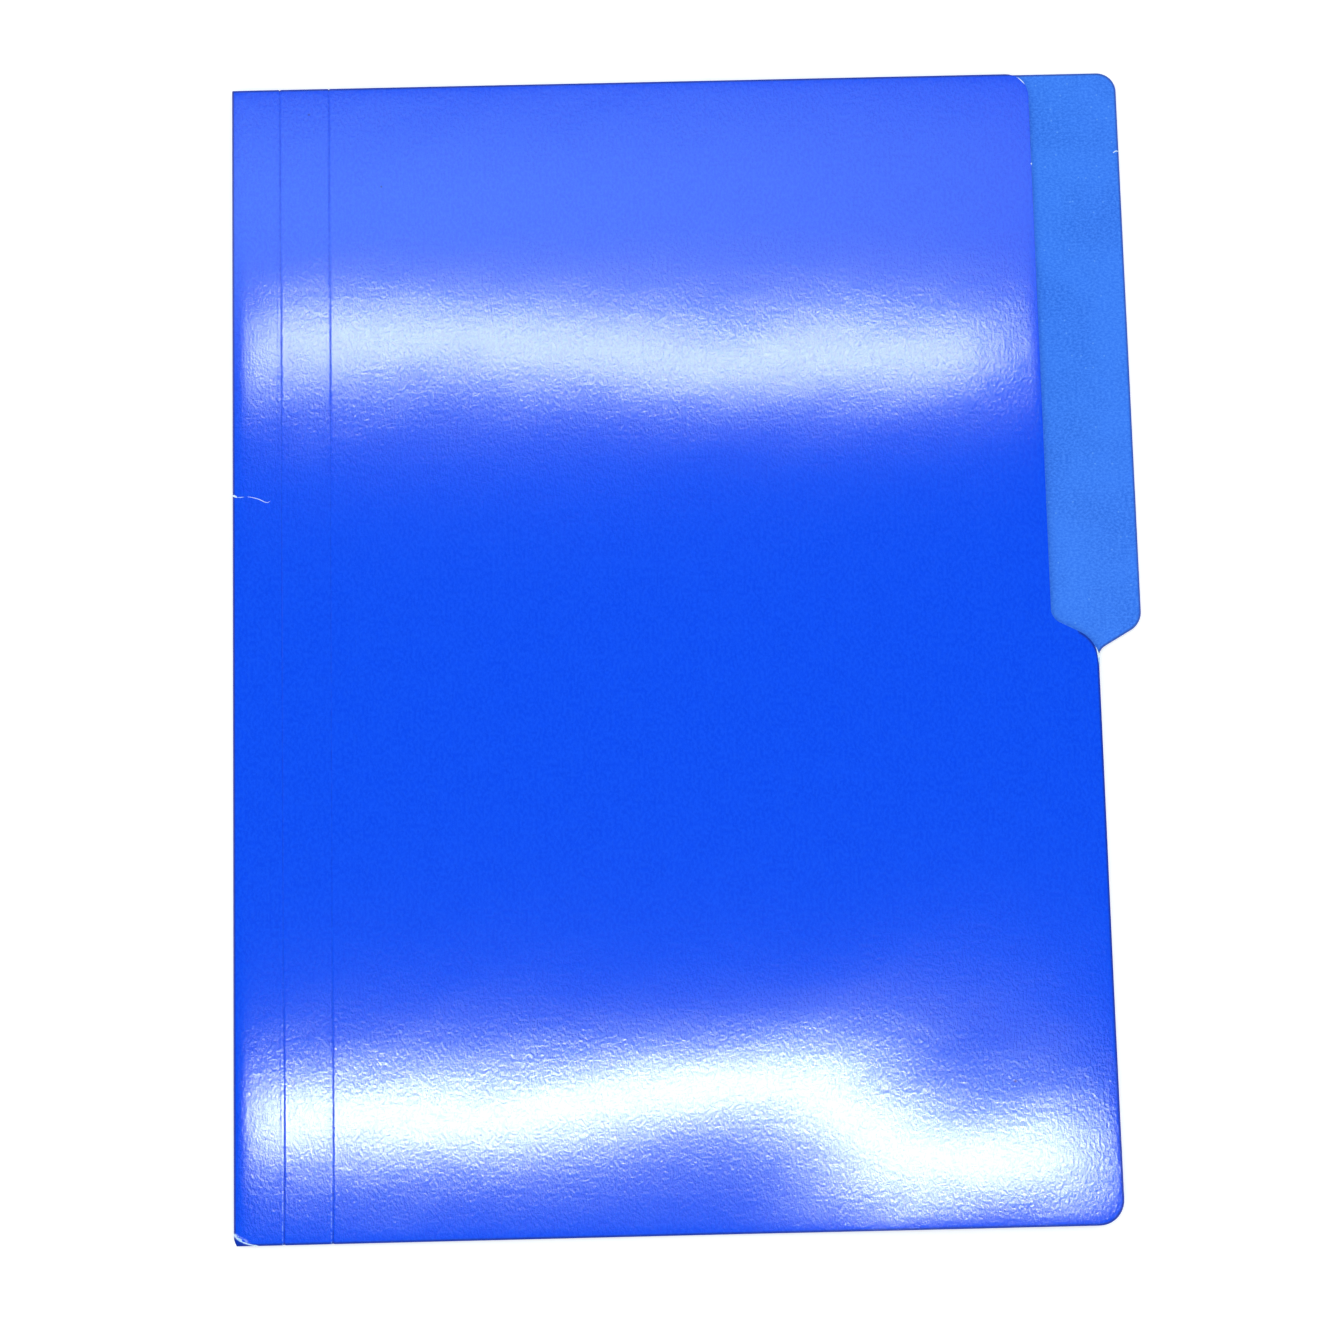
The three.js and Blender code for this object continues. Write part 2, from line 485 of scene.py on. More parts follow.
def back_leaf_card(materials):
    """The back leaf with its tab, lying on its outer face: its inner face is the upper one."""
    outline = back_outline()
    x, y = leaf_grid(outline, FOLD_SEAM)
    edge = distance_to_path(x, y, outline)
    drop = roll(edge)
    upper = np.stack([x, y, CARD - drop], -1)
    lower = np.stack([x, y, -drop], -1)
    uv = sheet_uv(x, y, -1)
    coated, inside, cut = materials
    return card("back_leaf_card", upper, lower, uv, edge, [inside, coated, cut], open_edge=True)


def strip_card(name, start, end, rows, materials):
    """A strip of the front side between two lines across the sheet, nicked where it is scored."""
    columns = graded(LEFT, RIGHT, STEP_ALONG)
    x, y = np.meshgrid(columns, np.linspace(start, end, rows + 1), indexing="ij")
    edge = distance_to_ends(x)
    rise = front_rise(x, y, edge)
    uv = sheet_uv(x, y, 1)
    scored = bell(y, FIRST_SCORE, GROOVE_WIDTH) + bell(y, second_groove(x), GROOVE_WIDTH)
    inward = SCORE_NICK * scored * np.exp(-edge / NICK_REACH)
    x = x + np.where(x < 0, inward, -inward)
    outer = np.stack([x, y, FRONT_TOP + rise], -1)
    inner = np.stack([x, y, FRONT_BOTTOM + rise], -1)
    return card(name, outer, inner, uv, edge, materials)


def fold_section(radius, angles, legs):
    """Half a circle round the fold's middle, then a straight leg at each end of it.

    The angle runs from minus a quarter turn, under the fold, to a quarter turn, over it.
    """
    y = FOLD_LINE + FOLD_RADIUS - radius * np.cos(angles)
    z = FOLD_RADIUS + radius * np.sin(angles)
    y = np.concatenate([legs[::-1], y, legs])
    z = np.concatenate([np.full(len(legs), z[0]), z, np.full(len(legs), z[-1])])
    return y, z


def fold_card(materials):
    """The bent card of the main fold. Its upper half swells and is crushed as the strip is."""
    columns = graded(LEFT, RIGHT, STEP_ALONG)
    angles = np.linspace(-math.pi / 2, math.pi / 2, FOLD_STEPS + 1)
    legs = np.linspace(FOLD_LINE + FOLD_RADIUS, FOLD_SEAM, LEG_STEPS + 1)[1:]
    share = np.concatenate([-legs[::-1] + FOLD_LINE, angles / (math.pi / 2) * FOLD_RADIUS,
                            legs - FOLD_LINE])
    grids = []
    for radius in (FOLD_RADIUS, FOLD_RADIUS - CARD):
        section_y, section_z = fold_section(radius, angles, legs)
        x, y = np.meshgrid(columns, section_y, indexing="ij")
        z = np.meshgrid(columns, section_z, indexing="ij")[1]
        upper = np.clip((z - FOLD_RADIUS) / (FOLD_RADIUS - CARD), 0, 1)
        depth = CRUSH_DEPTH * crush(x, y)
        on_bend = depth * np.clip((z - FOLD_RADIUS) / FOLD_RADIUS, 0, 1)
        dent = np.where(y > FOLD_LINE + FOLD_RADIUS, depth * upper, on_bend)
        z = z + swell(y) * upper - roll(distance_to_ends(x)) - dent
        grids.append(np.stack([x, y + blunted(x, y), z], -1))
    uv = np.stack(np.meshgrid(columns - LEFT, share, indexing="ij"), -1)
    return card("fold_card", grids[0], grids[1], uv, distance_to_ends(x), materials)


def on_front(along, across):
    """Points on the front side's outer face, and the way out of it there.

    Nearer to the fold than its radius, a point lies on the bend, a quarter turn for a radius.
    """
    x = LEFT + along
    turn = np.clip(across / FOLD_RADIUS, 0, 1) * math.pi / 2
    bent = across < FOLD_RADIUS
    y = np.where(bent, FOLD_LINE + FOLD_RADIUS * (1 - np.cos(turn)), FOLD_LINE + across)
    flat = FRONT_TOP + front_rise(x, y, distance_to_ends(x))
    z = np.where(bent, FOLD_RADIUS * (1 + np.sin(turn)) - roll(distance_to_ends(x)), flat)
    out = np.stack([np.zeros_like(x), -np.cos(turn) * bent, np.where(bent, np.sin(turn), 1)], -1)
    return np.stack([x, y, z], -1), out


def sliver(name, path, out, width, height, material):
    """A thin raised fibre along a path: a lens-shaped section that tapers to both ends.

    Its half width is width over two times the square root of the sine of its way along, and its
    height follows in the same share.
    """
    path = np.asarray(path)
    along = np.gradient(path, axis=0)
    along /= np.linalg.norm(along, axis=1)[:, None]
    aside = np.cross(out, along)
    aside /= np.linalg.norm(aside, axis=1)[:, None]
    way = np.linspace(0, 1, len(path))
    taper = np.sqrt(np.sin(math.pi * np.clip(way, SLIVER_TIP, 1 - SLIVER_TIP)))[:, None, None]
    turn = np.linspace(0, 2 * math.pi, SLIVER_SIDES, endpoint=False)[None, :, None]
    ring = aside[:, None] * np.cos(turn) * width / 2 + out[:, None] * np.sin(turn) * height
    points = (path[:, None] + ring * taper).reshape(-1, 3)
    number = np.arange(len(points)).reshape(len(path), SLIVER_SIDES)
    after = np.roll(number, -1, axis=1)
    faces = np.stack([number[:-1], number[1:], after[1:], after[:-1]], -1).reshape(-1, 4).tolist()
    faces += [number[0].tolist(), number[-1][::-1].tolist()]
    uv = np.stack([points[:, 0] - LEFT, points[:, 1] - FOLD_LINE], -1)
    piece = build_mesh(name, points, faces, np.zeros(len(faces)), uv, np.zeros(len(points)),
                       [material])
    correct_faces(piece)
    return piece


def front_sliver(name, along, across, width, height, material):
    """A sliver through places on the front side's outer face."""
    path, out = on_front(along, across)
    return sliver(name, path, out, width, height, material)


def correct_faces(piece):
    """Turns a closed mesh the right way out where its signed volume is negative."""
    mesh = piece.data
    mesh.calc_loop_triangles()
    points = np.zeros(len(mesh.vertices) * 3)
    mesh.vertices.foreach_get("co", points)
    corners = np.zeros(len(mesh.loop_triangles) * 3, np.int32)
    mesh.loop_triangles.foreach_get("vertices", corners)
    a, b, c = points.reshape(-1, 3)[corners.reshape(-1, 3)].transpose(1, 0, 2)
    if np.einsum("ij,ij->i", a, np.cross(b, c)).sum() < 0:
        mesh.flip_normals()


def curve_through(points, count):
    """A smooth curve through a few points: cubic Hermite pieces whose slopes join neighbours."""
    points = np.asarray(points, float)
    slopes = np.gradient(points, axis=0)
    place = np.linspace(0, len(points) - 1, count)
    left = np.minimum(place.astype(int), len(points) - 2)
    t = (place - left)[:, None]
    a, b, p, q = points[left], points[left + 1], slopes[left], slopes[left + 1]
    return (a * (1 + 2 * t) * (1 - t) ** 2 + p * t * (1 - t) ** 2
            + b * t ** 2 * (3 - 2 * t) + q * t ** 2 * (t - 1))


class Graph:
    """Adds nodes to one shader tree and links them."""

    def __init__(self, tree):
        self.tree = tree

    def feed(self, node, inputs):
        """Gives each named input of a node either a value or a socket to read."""
        for name, value in inputs.items():
            if isinstance(value, bpy.types.NodeSocket):
                self.tree.links.new(value, node.inputs[name])
            else:
                node.inputs[name].default_value = value

    def node(self, kind, inputs=(), **settings):
        """A new node with its settings and its inputs."""
        node = self.tree.nodes.new(kind)
        for name, value in settings.items():
            setattr(node, name, value)
        self.feed(node, dict(inputs))
        return node

    def group(self, tree, **inputs):
        """A node group placed here. An input's underscores stand for the spaces in its name."""
        node = self.node("ShaderNodeGroup", node_tree=tree)
        self.feed(node, {name.replace("_", " "): value for name, value in inputs.items()})
        return node.outputs

    def math(self, operation, first, second=0.0, clamp=False):
        """One sum of two numbers, or of one where the second isn't used."""
        inputs = {0: first, 1: second}
        return self.node("ShaderNodeMath", inputs, operation=operation, use_clamp=clamp).outputs[0]

    def smooth(self, value, low, high):
        """Zero at low and one at high, smoothly between."""
        inputs = {"Value": value, "From Min": low, "From Max": high}
        return self.node("ShaderNodeMapRange", inputs, interpolation_type="SMOOTHSTEP").outputs[0]

    def blend(self, share, first, second):
        """The first colour where the share is zero, and the second where it is one."""
        inputs = {0: share, 6: first, 7: second}
        return self.node("ShaderNodeMix", inputs, data_type="RGBA").outputs[2]

    def tint(self, colour, share, tint):
        """A colour with a tint over it, whose strength counts where the share is one."""
        strength, laid = tint
        return self.blend(self.math("MULTIPLY", share, strength), colour, laid)

    def split(self, vector):
        """The three parts of a vector."""
        return self.node("ShaderNodeSeparateXYZ", {0: vector}).outputs

    def stretched(self, place, shares):
        """The same places, each direction counted in its own share."""
        return self.node("ShaderNodeVectorMath", {0: place, 1: shares},
                         operation="MULTIPLY").outputs[0]

    def noise(self, vector, scale, detail, roughness=0.5):
        """Soft noise on the sheet, between zero and one."""
        inputs = {"Vector": vector, "Scale": scale, "Detail": detail, "Roughness": roughness}
        return self.node("ShaderNodeTexNoise", inputs, noise_dimensions="2D").outputs["Fac"]


def new_group(name, inputs, outputs):
    """An empty shader node group with named sockets, and its two end nodes."""
    tree = bpy.data.node_groups.new(name, "ShaderNodeTree")
    for socket, value in inputs.items():
        kind = "NodeSocketVector" if value is None else "NodeSocketFloat"
        made = tree.interface.new_socket(name=socket, in_out="INPUT", socket_type=kind)
        if value is not None:
            made.default_value = value
    for socket in outputs:
        tree.interface.new_socket(name=socket, in_out="OUTPUT", socket_type="NodeSocketFloat")
    graph = Graph(tree)
    return graph, graph.node("NodeGroupInput").outputs, graph.node("NodeGroupOutput").inputs


# How the noise of the paper is drawn out across the sheet, and where it breaks up a line
FIBRE_DRAW = (1.0, 0.7, 1.0)
BREAK_NOISE = (0.62, 0.38)


def paper_grain_group():
    """The paper itself: wide soft clouds, and fine fibres drawn out across the sheet."""
    graph, given, made = new_group(
        "paper grain", {"Place": None, "Fibre Size": 0.6 * MM, "Cloud Size": 9 * MM},
        ["Clouds", "Fibres"])
    place = given["Place"]
    fine = graph.math("DIVIDE", 1.0, given["Fibre Size"])
    wide = graph.math("DIVIDE", 1.0, given["Cloud Size"])
    clouds = graph.noise(place, wide, detail=4.0, roughness=0.55)
    fibres = graph.noise(graph.stretched(place, FIBRE_DRAW), fine, detail=4.0, roughness=0.7)
    graph.tree.links.new(clouds, made["Clouds"])
    graph.tree.links.new(fibres, made["Fibres"])
    return graph.tree


def line_group():
    """A line along the fold: one at its middle, falling smoothly to zero at its width.

    Its slant is the rise for each length, and noise breaks it up by the share that Breaks gives.
    """
    graph, given, made = new_group(
        "line along the fold",
        {"Place": None, "Across": 0.0, "Slant": 0.0, "Width": 0.4 * MM, "Breaks": 0.0,
         "Break Size": 3 * MM},
        ["Line"])
    parts = graph.split(given["Place"])
    middle = graph.math("ADD", graph.math("MULTIPLY", parts["X"], given["Slant"]),
                        given["Across"])
    away = graph.math("ABSOLUTE", graph.math("SUBTRACT", parts["Y"], middle))
    near = graph.math("SUBTRACT", 1.0, graph.math("DIVIDE", away, given["Width"]))
    line = graph.smooth(near, 0.0, 1.0)
    scale = graph.math("DIVIDE", 1.0, given["Break Size"])
    broken = graph.smooth(graph.noise(given["Place"], scale, detail=3.0), *BREAK_NOISE)
    kept = graph.math("SUBTRACT", 1.0, graph.math("MULTIPLY", broken, given["Breaks"]))
    graph.tree.links.new(graph.math("MULTIPLY", line, kept), made["Line"])
    return graph.tree


def spot_group():
    """A small speck: one at its place on the sheet, falling to zero at its size."""
    graph, given, made = new_group(
        "speck", {"Place": None, "Along": 0.0, "Across": 0.0, "Size": 0.4 * MM}, ["Speck"])
    middle = graph.node("ShaderNodeCombineXYZ", {"X": given["Along"], "Y": given["Across"]})
    away = graph.node("ShaderNodeVectorMath", {0: given["Place"], 1: middle.outputs[0]},
                      operation="DISTANCE").outputs["Value"]
    near = graph.math("SUBTRACT", 1.0, graph.math("DIVIDE", away, given["Size"]))
    graph.tree.links.new(graph.smooth(near, 0.0, 1.0), made["Speck"])
    return graph.tree


def new_material(name):
    """A material with nothing in it but its Principled shader, and the sheet's own places."""
    material = bpy.data.materials.new(name)
    material.use_nodes = True
    tree = material.node_tree
    shader = tree.nodes["Principled BSDF"]
    graph = Graph(tree)
    place = graph.node("ShaderNodeUVMap", uv_map="sheet").outputs["UV"]
    return material, graph, shader, place


def bumped(graph, height, distance, normal=None):
    """The normal that a height gives, on top of another normal where there is one."""
    inputs = {"Height": height, "Distance": distance, "Strength": 1.0}
    if normal is not None:
        inputs["Normal"] = normal
    return graph.node("ShaderNodeBump", inputs).outputs["Normal"]


# The painted edge shade is full from the edge to this share of its reach
EDGE_SHADE_CORE = 0.3


def at_shaded_edge(graph, reach):
    """One near an edge with painted shade, falling smoothly to zero at the reach from it."""
    away = graph.node("ShaderNodeAttribute", attribute_name="edge").outputs["Fac"]
    return graph.smooth(away, reach, reach * EDGE_SHADE_CORE)


# Each groove on the sheet: its place across at the left end of the fold, and its slant
GROOVE_LINES = (
    (FIRST_SCORE - FOLD_LINE, 0.0),
    (second_groove(LEFT) - FOLD_LINE, SECOND_SLANT),
)


def groove_lines(graph, groups, place, breaks, aside=0.0, **sizes):
    """Lines along both grooves, laid this far aside towards the fold, each with its own breaks."""
    lines = [
        graph.group(groups["line"], Place=place, Across=across - aside, Slant=slant,
                    Breaks=share, **sizes)["Line"]
        for (across, slant), share in zip(GROOVE_LINES, breaks)
    ]
    return graph.math("MAXIMUM", *lines)


# Every colour is linear red, green and blue with a full alpha. A pair of them is what the paper's
# clouds run between, over a range of their noise. A tint is a strength and a colour.
#
# The coated face. Its own grain makes the bumps, and the coat follows them at a small part of
# their height, over a slow waviness of its own.
COAT_BLUES = ((0.0018, 0.073, 0.945, 1), (0.0026, 0.079, 0.965, 1))
COAT_CLOUDS = (0.3, 0.7)
COAT_GRAIN = 1.0 * MM
COAT_GRAIN_DRAW = (0.9, 1.3, 1.0)
COAT_MOTTLE = (0.36, 0.66)
COAT_MOTTLE_TINT = (0.8, (0.0060, 0.100, 1.0, 1))
# Painted shade: the outer cut edges of the coated face are darkened within this reach
COAT_EDGE_SHADE = 0.75 * MM
COAT_EDGE_SHADE_TINT = (0.8, (0.010, 0.035, 0.30, 1))
CARD_BUMP = 0.30 * MM
COAT_BUMP = 0.0100 * MM
COAT_WAVINESS = 6 * MM
COAT_WAVE_BUMP = 0.010 * MM
COAT_IOR = 1.6
COAT_ROUGHNESS = 0.09

# Its grooves are darkened with painted shade, and more so near the right end, where their lips get a
# painted highlight on the side towards the fold. Its fold is darkened on the bend with painted shade.
GROOVE_BREAKS = (0.35, 0.75)
GROOVE_SIZES = {"Width": 0.28 * MM, "Break_Size": 5 * MM}
GROOVE_SHADE_BLUE = (0.001, 0.018, 0.40, 1)
GROOVE_SHADE = 0.2
GROOVE_SHADE_AT_END = 0.45
# The painted groove shade and lip highlight grow between these distances before the right end
SHADE_AND_HIGHLIGHT_END = (26 * MM, 9 * MM)
LIP_HIGHLIGHT_SIZES = {"Width": 0.25 * MM, "Break_Size": 1.1 * MM}
LIP_HIGHLIGHT_ASIDE = 0.42 * MM
LIP_HIGHLIGHT_TINT = (0.55, (0.30, 0.52, 0.98, 1))
BEND_SHADE = (0.74 * MM, 0.48 * MM)
BEND_SHADE_TINT = (0.85, (0.002, 0.016, 0.26, 1))

# Dark specks in it, in millimetres: along, across and size
SPECKS = ((7.0, 20.4, 0.42), (27.0, 39.3, 0.38), (262.5, 196.4, 0.55))
SPECK_TINT = (0.9, (0.001, 0.012, 0.20, 1))

# The crushed corner has lost some of its coat, and its border is scuffed down to the core
CRUSH_EDGE = 0.3 * MM
CRUSH_TINT = (0.75, (0.006, 0.03, 0.34, 1))
SCUFF_PLACE = 0.5 * MM
SCUFF_WIDTH = (0.9 * MM, 0.1 * MM)
SCUFF_FIBRES = (0.42, 0.6)
SCUFF_ACROSS = (5.0 * MM, 1.2 * MM)
SCUFF_WHITE = (0.62, 0.78, 0.98, 1)
COAT_LOSS = 0.9

# The uncoated inside, with pale flecks in a share of the cells of a Voronoi pattern
INSIDE_BLUES = ((0.016, 0.148, 0.80, 1), (0.026, 0.184, 0.90, 1))
INSIDE_CLOUDS = (0.25, 0.75)
INSIDE_MOTTLE = (0.34, 0.68)
INSIDE_MOTTLE_TINT = (0.8, (0.062, 0.262, 0.97, 1))
FLECK_SPACING = 3.2 * MM
FLECK_SIZE = (0.10, 0.03)
FLECKLESS_SHARE = 0.84
FLECK_TINT = (0.5, (0.16, 0.42, 0.95, 1))
INSIDE_GROOVE_WIDTH = 0.5 * MM
INSIDE_GROOVE_TINT = (0.35, (0.13, 0.36, 0.90, 1))
# Painted shade: the cut edges of the inside are darkened within this reach
INSIDE_EDGE_SHADE = 0.70 * MM
INSIDE_EDGE_SHADE_TINT = (0.75, (0.020, 0.06, 0.36, 1))
INSIDE_BUMP = 0.07 * MM
INSIDE_ROUGHNESS = 0.62
FIBRE_ROUGHNESS = 0.2

# The cut edge, and the torn core
EDGE_BLUES = ((0.008, 0.042, 0.28, 1), (0.22, 0.40, 0.80, 1))
EDGE_CLOUDS = (0.56, 0.74)
EDGE_FIBRE_TINT = (0.3, (0.05, 0.14, 0.45, 1))
CORE_WHITES = ((0.74, 0.90, 1.0, 1), (0.26, 0.56, 0.97, 1))
CORE_CLOUDS = (0.4, 0.75)
FIBRE_BUMP = 0.05 * MM


def worn_corner(graph, place, fibres):
    """Where the front corner is crushed, with the mesh's own border, and where it is scuffed."""
    parts = graph.split(place)
    to_end = graph.math("SUBTRACT", SPINE, parts["X"])
    across = graph.math("DIVIDE", graph.math("ABSOLUTE", parts["Y"]), CRUSH_ACROSS)
    left_over = graph.math("SUBTRACT", 1.0, across, clamp=True)
    border = graph.math("MULTIPLY", graph.math("POWER", left_over, CRUSH_POWER), CRUSH_ALONG)
    inside = graph.math("SUBTRACT", border, to_end)
    on_front_side = graph.math("GREATER_THAN", parts["Y"], 0.0)
    crushed = graph.math("MULTIPLY", graph.smooth(inside, 0.0, CRUSH_EDGE), on_front_side)
    away = graph.math("ABSOLUTE", graph.math("ADD", inside, SCUFF_PLACE))
    scuff = graph.math("MULTIPLY", graph.smooth(away, *SCUFF_WIDTH),
                       graph.smooth(fibres, *SCUFF_FIBRES))
    near_fold = graph.smooth(parts["Y"], *SCUFF_ACROSS)
    scuff = graph.math("MULTIPLY", graph.math("MULTIPLY", scuff, near_fold), on_front_side)
    return crushed, scuff


def specks(graph, groups, place):
    """One in the middle of each dark speck."""
    first, second, third = [
        graph.group(groups["speck"], Place=place, Along=along * MM, Across=across * MM,
                    Size=size * MM)["Speck"]
        for along, across, size in SPECKS
    ]
    return graph.math("MAXIMUM", graph.math("MAXIMUM", first, second), third)


def coated_card(groups):
    """The outer face: saturated blue card under a gloss coat with a sparkling eggshell grain."""
    material, graph, shader, place = new_material("coated blue card")
    grain = graph.group(groups["grain"], Place=place, Fibre_Size=1.0 * MM, Cloud_Size=6 * MM)
    parts = graph.split(place)
    bumps = graph.noise(graph.stretched(place, COAT_GRAIN_DRAW), 1 / COAT_GRAIN, detail=2.0,
                        roughness=0.7)
    crushed, scuff = worn_corner(graph, place, grain["Fibres"])
    far, near = SHADE_AND_HIGHLIGHT_END
    near_end = graph.smooth(parts["X"], SPINE - far, SPINE - near)
    shade = graph.math("ADD", graph.math("MULTIPLY", near_end, GROOVE_SHADE_AT_END), GROOVE_SHADE)
    grooves = groove_lines(graph, groups, place, GROOVE_BREAKS, **GROOVE_SIZES)
    # Painted highlight on the groove lips, laid aside towards the fold
    lip_highlight = groove_lines(graph, groups, place, (1.0, 1.0), LIP_HIGHLIGHT_ASIDE, **LIP_HIGHLIGHT_SIZES)
    on_bend = graph.smooth(graph.math("ABSOLUTE", parts["Y"]), *BEND_SHADE)

    colour = graph.blend(graph.smooth(grain["Clouds"], *COAT_CLOUDS), *COAT_BLUES)
    colour = graph.tint(colour, graph.smooth(bumps, *COAT_MOTTLE), COAT_MOTTLE_TINT)
    # Painted shade in the grooves, stronger near the right end
    colour = graph.blend(graph.math("MULTIPLY", grooves, shade), colour, GROOVE_SHADE_BLUE)
    # Painted shade on the bend of the fold
    colour = graph.tint(colour, on_bend, BEND_SHADE_TINT)
    # Painted shade: darkened along the outer cut edges
    colour = graph.tint(colour, at_shaded_edge(graph, COAT_EDGE_SHADE), COAT_EDGE_SHADE_TINT)
    # Painted highlight on the groove lips near the right end
    colour = graph.tint(colour, graph.math("MULTIPLY", lip_highlight, near_end), LIP_HIGHLIGHT_TINT)
    colour = graph.tint(colour, specks(graph, groups, place), SPECK_TINT)
    colour = graph.tint(colour, crushed, CRUSH_TINT)
    colour = graph.blend(scuff, colour, SCUFF_WHITE)

    worn = graph.math("MULTIPLY", graph.math("MAXIMUM", scuff, crushed), COAT_LOSS)
    waves = graph.noise(place, 1 / COAT_WAVINESS, detail=4.0, roughness=0.55)
    levelled = bumped(graph, waves, COAT_WAVE_BUMP)
    graph.feed(shader, {
        "Base Color": colour,
        "Normal": bumped(graph, bumps, CARD_BUMP),
        "Coat Weight": graph.math("SUBTRACT", 1.0, worn),
        "Coat Normal": bumped(graph, bumps, COAT_BUMP, normal=levelled),
        "Coat IOR": COAT_IOR,
        "Coat Roughness": COAT_ROUGHNESS,
        "Specular IOR Level": 0.0,
    })
    return material


def inside_card(groups):
    """The uncoated inner face: a lighter, matte blue with clouds, fibres and pale flecks."""
    material, graph, shader, place = new_material("uncoated blue card")
    grain = graph.group(groups["grain"], Place=place, Fibre_Size=0.55 * MM, Cloud_Size=16 * MM)
    cells = graph.node("ShaderNodeTexVoronoi", {"Vector": place, "Scale": 1 / FLECK_SPACING},
                       voronoi_dimensions="2D").outputs
    chance = graph.node("ShaderNodeSeparateColor", {0: cells["Color"]}).outputs[0]
    flecks = graph.math("MULTIPLY", graph.smooth(cells["Distance"], *FLECK_SIZE),
                        graph.math("GREATER_THAN", chance, FLECKLESS_SHARE))
    grooves = groove_lines(graph, groups, place, (0.5, 0.5), Width=INSIDE_GROOVE_WIDTH)
    uneven = graph.math("MULTIPLY", grain["Fibres"], FIBRE_ROUGHNESS)

    colour = graph.blend(graph.smooth(grain["Clouds"], *INSIDE_CLOUDS), *INSIDE_BLUES)
    mottle = graph.smooth(grain["Fibres"], *INSIDE_MOTTLE)
    colour = graph.tint(colour, mottle, INSIDE_MOTTLE_TINT)
    colour = graph.tint(colour, flecks, FLECK_TINT)
    colour = graph.tint(colour, grooves, INSIDE_GROOVE_TINT)
    # Painted shade: darkened along the cut edges of the inside
    colour = graph.tint(colour, at_shaded_edge(graph, INSIDE_EDGE_SHADE), INSIDE_EDGE_SHADE_TINT)
    graph.feed(shader, {
        "Base Color": colour,
        "Normal": bumped(graph, grain["Fibres"], INSIDE_BUMP),
        "Roughness": graph.math("ADD", uneven, INSIDE_ROUGHNESS),
        "Specular IOR Level": 0.25,
    })
    return material


def cut_edge(groups):
    """The die-cut edge: ink-stained board, paler where its core shows."""
    material, graph, shader, place = new_material("cut edge of the card")
    grain = graph.group(groups["grain"], Place=place, Fibre_Size=0.25 * MM, Cloud_Size=4 * MM)
    colour = graph.blend(graph.smooth(grain["Clouds"], *EDGE_CLOUDS), *EDGE_BLUES)
    graph.feed(shader, {
        "Base Color": graph.tint(colour, grain["Fibres"], EDGE_FIBRE_TINT),
        "Normal": bumped(graph, grain["Fibres"], FIBRE_BUMP),
        "Roughness": 0.85,
    })
    return material


def bare_core(groups):
    """Torn white core: soft fibres with a trace of blue."""
    material, graph, shader, place = new_material("bare core of the card")
    grain = graph.group(groups["grain"], Place=place, Fibre_Size=0.2 * MM, Cloud_Size=2 * MM)
    graph.feed(shader, {
        "Base Color": graph.blend(graph.smooth(grain["Clouds"], *CORE_CLOUDS), *CORE_WHITES),
        "Normal": bumped(graph, grain["Fibres"], FIBRE_BUMP),
        "Roughness": 0.9,
    })
    return material


def place_flat_piece(piece, body, node):
    """A piece that moves with one body and stands for one solid of the frame."""
    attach(piece, body)
    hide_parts(node)


def make_folder(groups):
    """All pieces of the sheet. The leaves, strips and worn pieces ride on the bodies that carry them;
    the creases, the fold and the tear's first sliver are baked in place on no body.
    """
    coated, inside, cut, core = [
        make(groups) for make in (coated_card, inside_card, cut_edge, bare_core)
    ]
    materials = [coated, inside, cut]

    place_flat_piece(back_leaf_card(materials), "back_leaf", "back_leaf")
    place_flat_piece(front_leaf_card(materials), "front_leaf", "front_leaf")
    strips = (
        ("first", FOLD_SEAM, FIRST_SCORE - CREASE_REACH),
        ("second", FIRST_SCORE + CREASE_REACH, SECOND_SCORE - CREASE_REACH),
    )
    for order, start, end in strips:
        node = f"{order}_expansion_strip"
        rows = math.ceil((end - start) / STRIP_STEP)
        piece = strip_card(f"{order}_strip_card", start, end, rows, materials)
        place_flat_piece(piece, node, node)

    creases = (
        ("first_score_crease", FIRST_SCORE, "first_expansion_strip", "second_expansion_strip"),
        ("second_score_crease", SECOND_SCORE, "second_expansion_strip", "front_leaf"),
    )
    for name, score, before, after in creases:
        piece = strip_card(name, score - CREASE_REACH, score + CREASE_REACH, CREASE_ROWS,
                           materials)
        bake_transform(piece)

    fold = fold_card(materials)
    bend_over_the_fold(fold)
    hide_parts("spine_fold")
    make_tear(core)
    make_corner_wear(core)
    make_chips(core)


def bend_over_the_fold(piece):
    """Bakes the piece's place into its mesh, and leaves it on no body."""
    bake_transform(piece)


def edge_path(outline, first, last, count):
    """A stretch of an outline, between two places along the sheet, as evenly spaced points."""
    along = np.linspace(first, last, count)
    across = np.interp(LEFT + along, outline[1:-1, 0], outline[1:-1, 1])
    return LEFT + along, across


# The worn spots, in millimetres on the sheet: the line of the tear, where two of its slivers start
# and end across and how wide they are, and where each chip in the front leaf's edge starts and ends
# along and how wide it is. The nick in the tab is counted from the left end and the tab's edge.
TEAR = ((108.5, 0.1), (109.1, 1.6), (109.0, 4.0), (109.6, 6.6), (110.6, 8.8), (110.3, 9.8))
TEAR_SLIVERS = (("tear_fibre", 1.2, 3.4, 0.15), ("tear_end", 3.7, 9.9, 0.17))
EDGE_CHIPS = (
    ("corner_chip", 0.75, 3.0, 0.32),
    ("shoulder_chip", 153.0, 158.6, 0.55),
    ("edge_chip", 24.3, 24.9, 0.4),
)
TAB_NICK = ((21.9, -1.5), (21.4, -0.7), (21.5, 0.05))
TEAR_PAST_SEAM = 0.2 * MM
TEAR_POINTS = 60
CHIP_POINTS = 24
NICK_POINTS = 16
FIBRE_HEIGHT = 0.05 * MM
CHIP_HEIGHT = 0.12 * MM
CHIP_DROP = 0.08 * MM
UPWARDS = (0.0, 0.0, 1.0)


